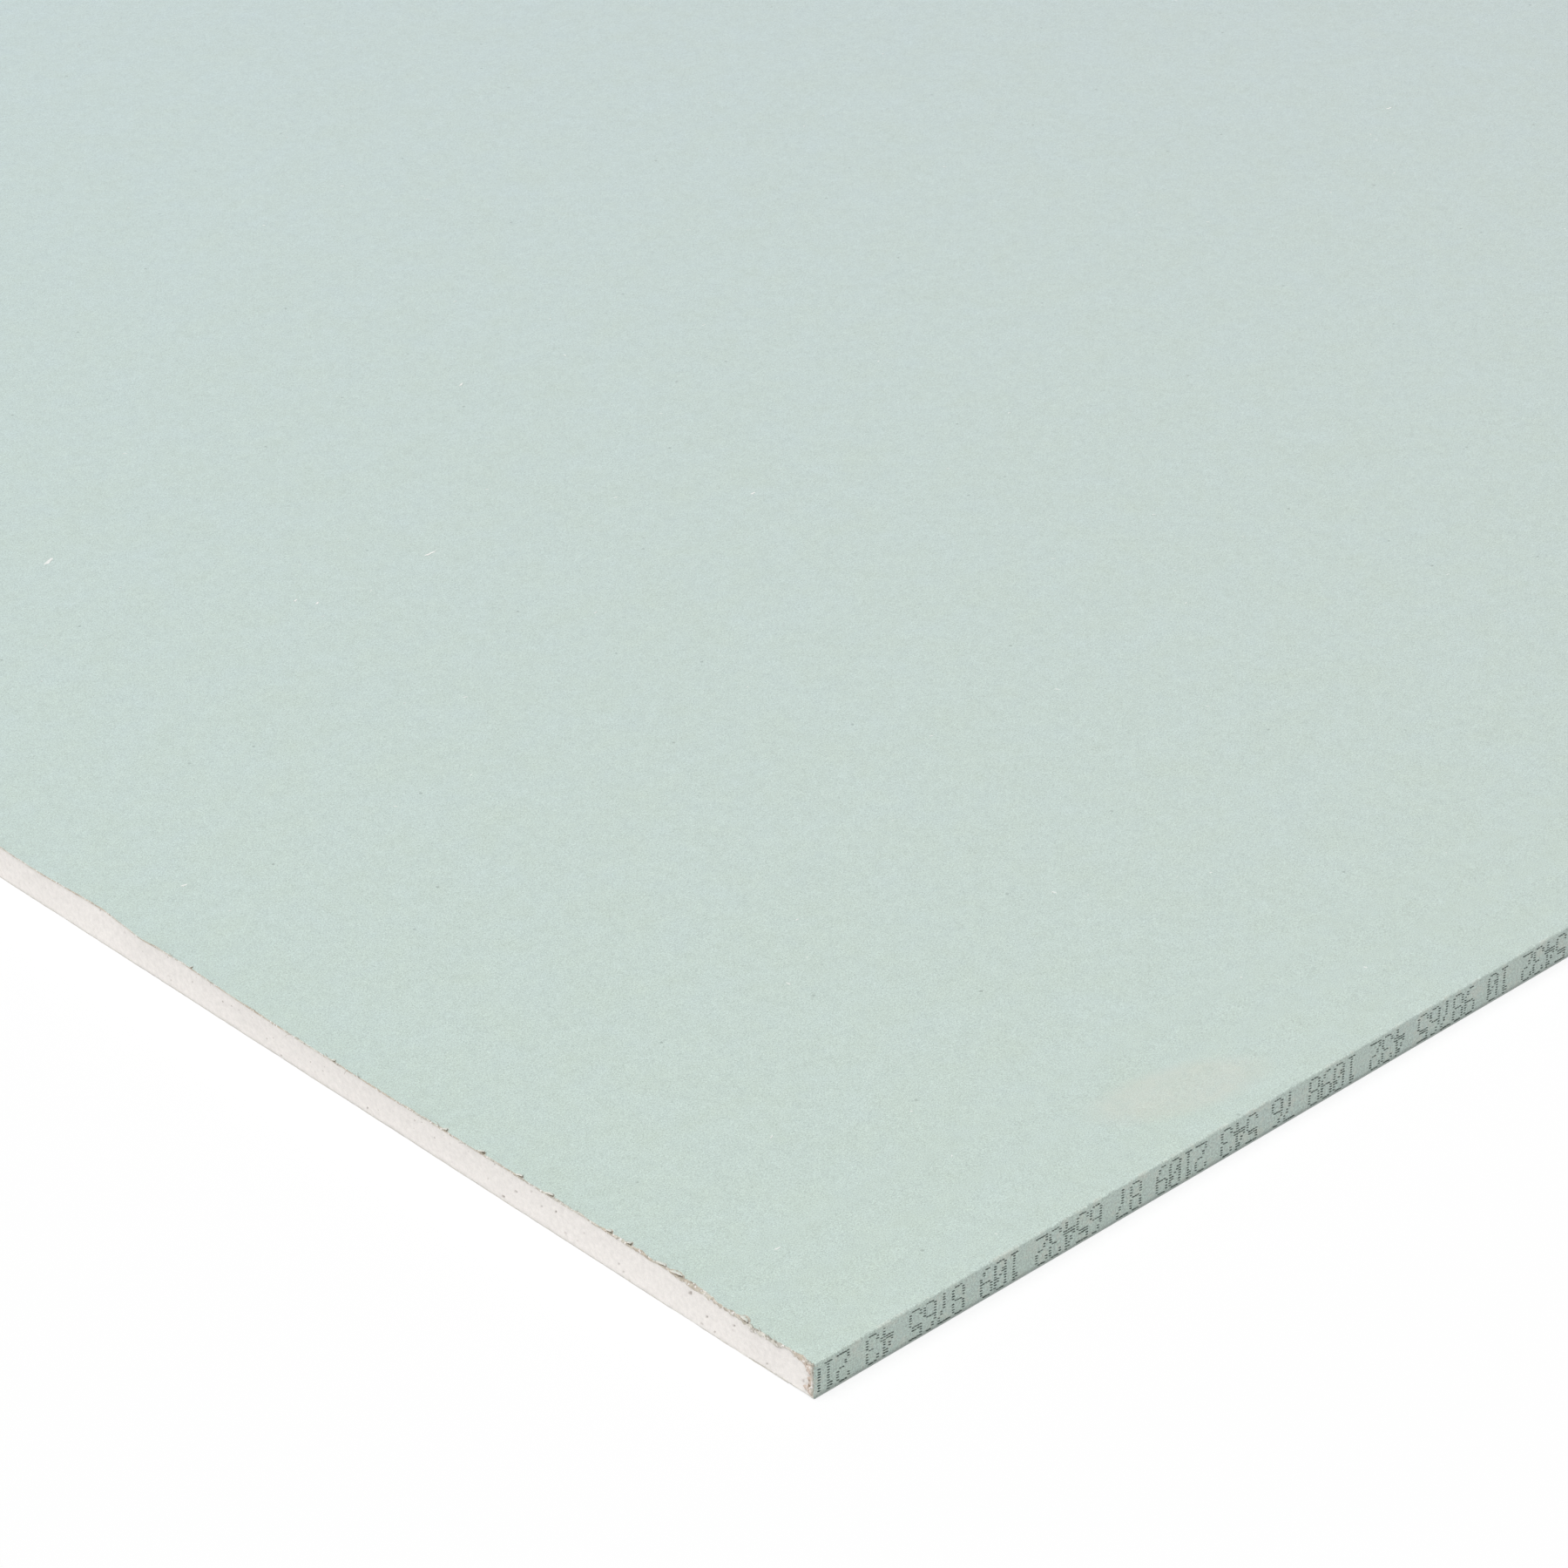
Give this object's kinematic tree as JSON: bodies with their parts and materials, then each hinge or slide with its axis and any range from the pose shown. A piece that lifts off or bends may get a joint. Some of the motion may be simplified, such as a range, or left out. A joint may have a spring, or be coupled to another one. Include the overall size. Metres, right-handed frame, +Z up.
{
  "type": "drywall sheet",
  "caption": "Flat moisture-resistant gypsum board: plaster core between a green face paper wrapped round tapered long edges and a grey back paper, for lining walls and ceilings.",
  "frame": {"origin": "middle of the back face, which lies on the floor", "axes": "+X along the length, +Y across the width, +Z up out of the green face"},
  "size_m": [2.4, 1.2, 0.0125],
  "materials": {
    "gypsum": "rough cut plaster",
    "green_paper": "matt uncoated",
    "grey_paper": "matt uncoated"
  },
  "bodies": {
    "root": {"gypsum_core": "gypsum", "face_paper": "green_paper", "back_paper": "grey_paper"}
  },
  "joints": []
}
